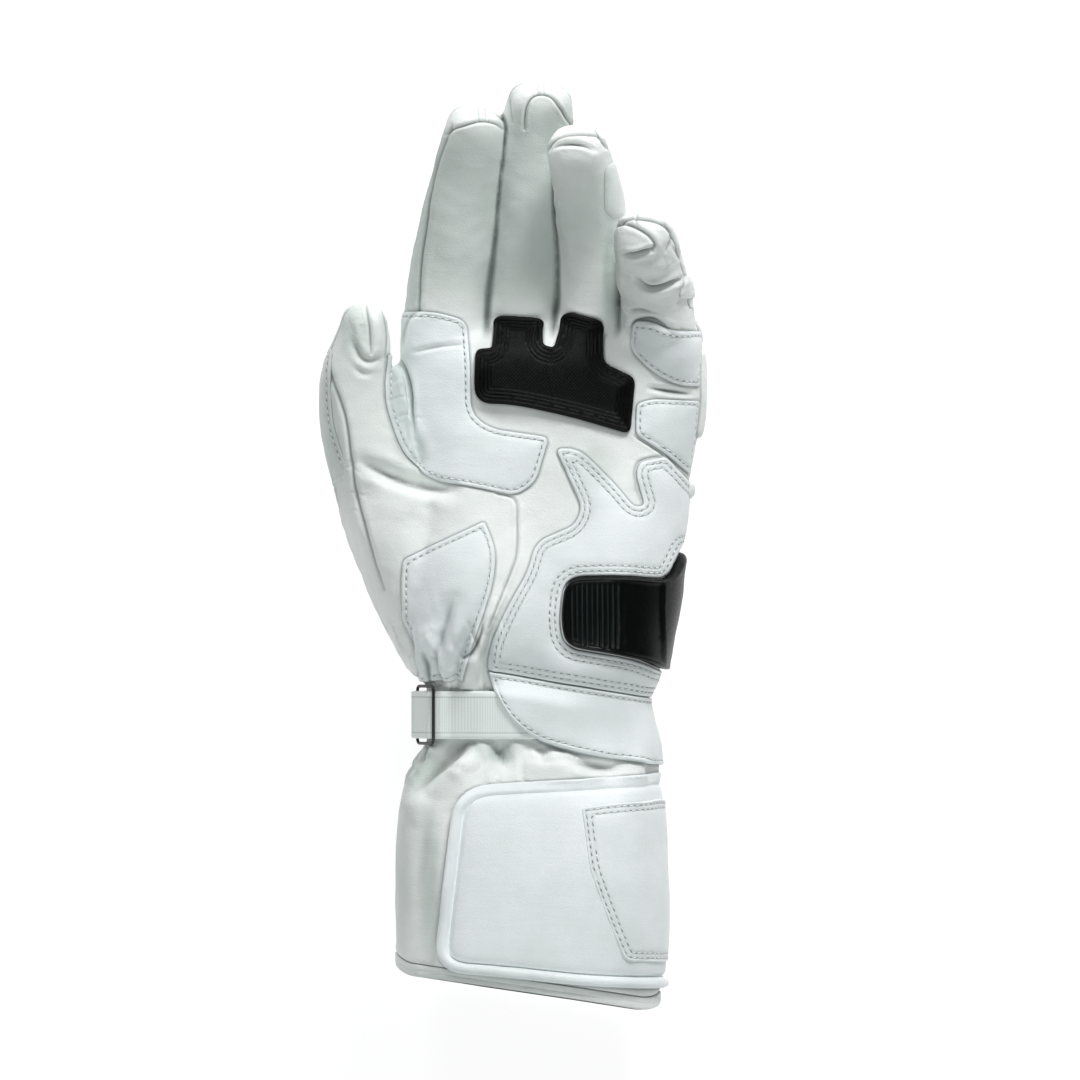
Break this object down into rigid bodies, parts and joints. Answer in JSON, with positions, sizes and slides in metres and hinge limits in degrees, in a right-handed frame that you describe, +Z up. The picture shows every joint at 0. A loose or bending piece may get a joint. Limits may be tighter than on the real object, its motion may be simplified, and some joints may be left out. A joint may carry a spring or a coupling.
{
  "type": "leather motorcycle glove",
  "caption": "Left-hand white leather motorcycle gauntlet lying palm up, with sewn patches, rubber grip pad, hard heel slider, ringed wrist strap and padded cuff flap.",
  "frame": {"origin": "under the middle of the glove's box, on the surface that the glove's back lies on", "axes": "+Y from the cuff to the fingertips, +X towards the little finger, +Z up out of the palm"},
  "size_m": [0.1408, 0.3364, 0.0699],
  "materials": {
    "leather": "smooth white full-grain leather with a fine grain",
    "patch_leather": "smooth white leather, sewn with white thread",
    "grip_rubber": "matt black moulded rubber with a raised mesh pattern",
    "slider_plastic": "satin black hard plastic with fine ribs at one end",
    "ring_metal": "dark grey lacquered steel wire",
    "strap_fabric": "white finely ribbed synthetic leather"
  },
  "bodies": {
    "root": {"palm_leather": "leather", "back_leather": "leather", "cuff_leather": "leather", "index_front": "leather", "index_back": "leather", "middle_front": "leather", "middle_back": "leather", "ring_front": "leather", "ring_back": "leather", "little_front": "leather", "little_back": "leather", "thumb_front": "leather", "thumb_back": "leather", "cuff_hem": "patch_leather", "index_web_patch": "patch_leather", "thenar_patch": "patch_leather", "heel_panel": "patch_leather", "little_patch_upper": "patch_leather", "little_patch_lower": "patch_leather", "thumb_side_panel": "patch_leather", "little_knuckle_pad_tip": "patch_leather", "little_knuckle_pad_middle": "patch_leather", "little_knuckle_pad_base": "patch_leather", "edge_tab": "patch_leather", "ring_knuckle_pad": "patch_leather", "wrist_flap": "patch_leather", "cuff_flap": "patch_leather", "cuff_flap_patch": "patch_leather", "grip_pad": "grip_rubber", "heel_slider": "slider_plastic", "wrist_ring": "ring_metal", "wrist_strap": "strap_fabric", "ring_tab": "strap_fabric"}
  },
  "joints": []
}
